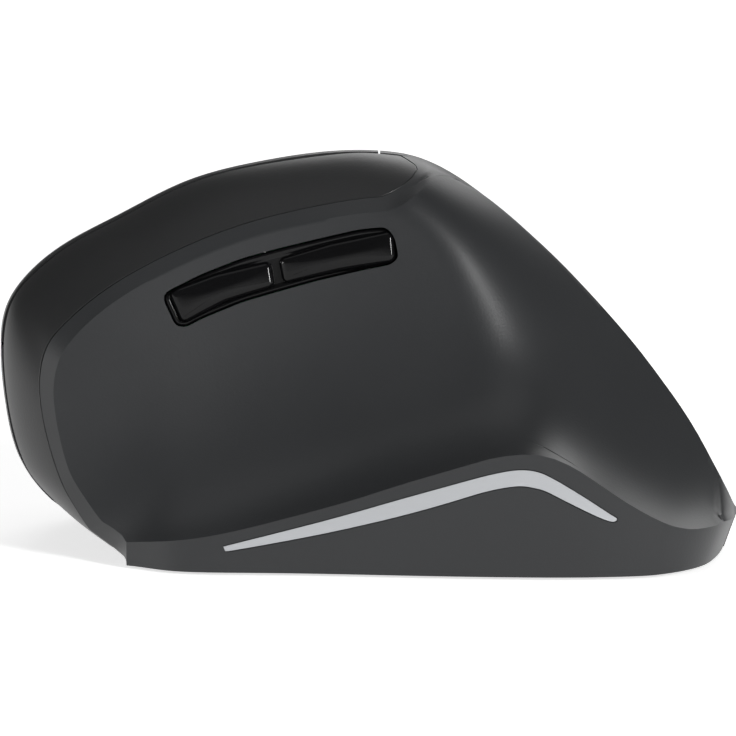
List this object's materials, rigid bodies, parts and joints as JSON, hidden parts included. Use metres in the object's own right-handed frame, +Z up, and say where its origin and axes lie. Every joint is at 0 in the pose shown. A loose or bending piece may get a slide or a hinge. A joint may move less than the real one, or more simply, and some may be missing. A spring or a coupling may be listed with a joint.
{
  "type": "vertical ergonomic mouse",
  "caption": "Cordless vertical mouse with a leaning thumb face, thumb keys, click buttons, scroll wheel and a silver strip along its thumb ledge.",
  "frame": {"origin": "middle of the mouse's box, on the surface that it rests on", "axes": "+Z up, +X towards the heel of the hand, -Y towards the thumb side"},
  "size_m": [0.1222, 0.0773, 0.0651],
  "materials": {
    "shell_charcoal": "soft-touch charcoal moulding",
    "spine_black": "fine matt black moulding",
    "gloss_black": "polished black moulding",
    "strip_silver": "satin silver lacquer",
    "base_black": "textured black moulding",
    "wheel_rubber": "ribbed black rubber",
    "hub_grey": "grey moulding",
    "steel": "plated steel",
    "board_green": "solder mask",
    "part_black": "moulded component",
    "plunger_red": "red plunger",
    "clear_lens": "clear moulding",
    "glide_grey": "low friction glide",
    "cell_wrap": "plain battery wrap",
    "receiver_black": "black cap on a steel plug",
    "ribbon_white": "flat flexible ribbon"
  },
  "bodies": {
    "root": {"accent_strip": "strip_silver", "back_switch": "part_black", "base_plate": "base_black", "base_screws": "steel", "battery_cells": "cell_wrap", "battery_tray": "base_black", "board_screws": "steel", "centre_bridge": "gloss_black", "contact_plates": "steel", "dpi_switch": "part_black", "forward_switch": "part_black", "glide_pads": "glide_grey", "inner_frame": "base_black", "left_click_switch": "part_black", "main_board": "board_green", "optical_sensor": "part_black", "palm_shell": "shell_charcoal", "power_switch_body": "base_black", "right_click_switch": "part_black", "sensor_lamp": "clear_lens", "sensor_lens": "clear_lens", "spine_cover": "spine_black", "switch_board": "board_green", "switch_ribbon": "ribbon_white", "thumb_button_bezel": "gloss_black", "thumb_button_board": "board_green", "thumb_side_shell": "shell_charcoal", "wheel_click_switch": "part_black"},
    "left_click": {"left_click_button": "spine_black"},
    "right_click": {"right_click_button": "spine_black"},
    "left_plunger": {"left_switch_plunger": "plunger_red"},
    "right_plunger": {"right_switch_plunger": "plunger_red"},
    "cradle": {"wheel_cradle": "base_black", "wheel_encoder": "part_black"},
    "wheel": {"wheel_tyre": "wheel_rubber", "wheel_hub": "hub_grey", "wheel_axle": "steel"},
    "forward": {"forward_button": "gloss_black"},
    "back": {"back_button": "gloss_black"},
    "dpi": {"dpi_button": "gloss_black"},
    "power_slider": {"power_switch_slider": "hub_grey"},
    "door": {"battery_door": "base_black"},
    "receiver": {"usb_receiver": "receiver_black"}
  },
  "joints": [
    {"name": "left_click_press", "type": "hinge", "parent": "root", "child": "left_click", "pos_m": [0.002, 0.01554, 0.05778], "axis": [0, -0.5446, 0.8387], "range_deg": [0, 0.4], "stiffness_Nm_per_rad": 2, "springref_deg": -0.34},
    {"name": "right_click_press", "type": "hinge", "parent": "root", "child": "right_click", "pos_m": [0.002, 0.03296, 0.03095], "axis": [0, -0.5446, 0.8387], "range_deg": [0, 0.4], "stiffness_Nm_per_rad": 2, "springref_deg": -0.34},
    {"name": "left_plunger_press", "type": "slide", "parent": "root", "child": "left_plunger", "axis": [0, -0.8387, -0.5446], "range_m": [0, 0.00035]},
    {"name": "right_plunger_press", "type": "slide", "parent": "root", "child": "right_plunger", "axis": [0, -0.8387, -0.5446], "range_m": [0, 0.00035]},
    {"name": "wheel_click", "type": "hinge", "parent": "root", "child": "cradle", "pos_m": [-0.0198, 0.01142, 0.03603], "axis": [0, -0.5446, 0.8387], "range_deg": [0, 1.2], "stiffness_Nm_per_rad": 1.5, "springref_deg": -0.57},
    {"name": "wheel_spin", "type": "hinge", "parent": "cradle", "child": "wheel", "pos_m": [-0.034, 0.01611, 0.03908], "axis": [0, 0.5446, -0.8387], "continuous": true},
    {"name": "forward_press", "type": "slide", "parent": "root", "child": "forward", "axis": [0, 0.9877, -0.1564], "range_m": [0, 0.0006], "stiffness_N_per_m": 800, "springref_m": -0.0004},
    {"name": "back_press", "type": "slide", "parent": "root", "child": "back", "axis": [0, 0.9877, -0.1564], "range_m": [0, 0.0006], "stiffness_N_per_m": 800, "springref_m": -0.0004},
    {"name": "dpi_press", "type": "slide", "parent": "root", "child": "dpi", "axis": [0, -0.8387, -0.5446], "range_m": [0, 0.0005], "stiffness_N_per_m": 800, "springref_m": -0.0004},
    {"name": "power_slide", "type": "slide", "parent": "root", "child": "power_slider", "axis": [1, 0, 0], "range_m": [0, 0.003]},
    {"name": "door_slide", "type": "slide", "parent": "root", "child": "door", "axis": [1, 0, 0], "range_m": [0, 0.004]},
    {"name": "receiver_pull", "type": "slide", "parent": "root", "child": "receiver", "axis": [0, 0, -1], "range_m": [0, 0.007]}
  ],
  "couplings": [
    {"joint": "left_plunger_press", "follows": "left_click_press", "m_per_rad": 0.04},
    {"joint": "right_plunger_press", "follows": "right_click_press", "m_per_rad": 0.04}
  ]
}
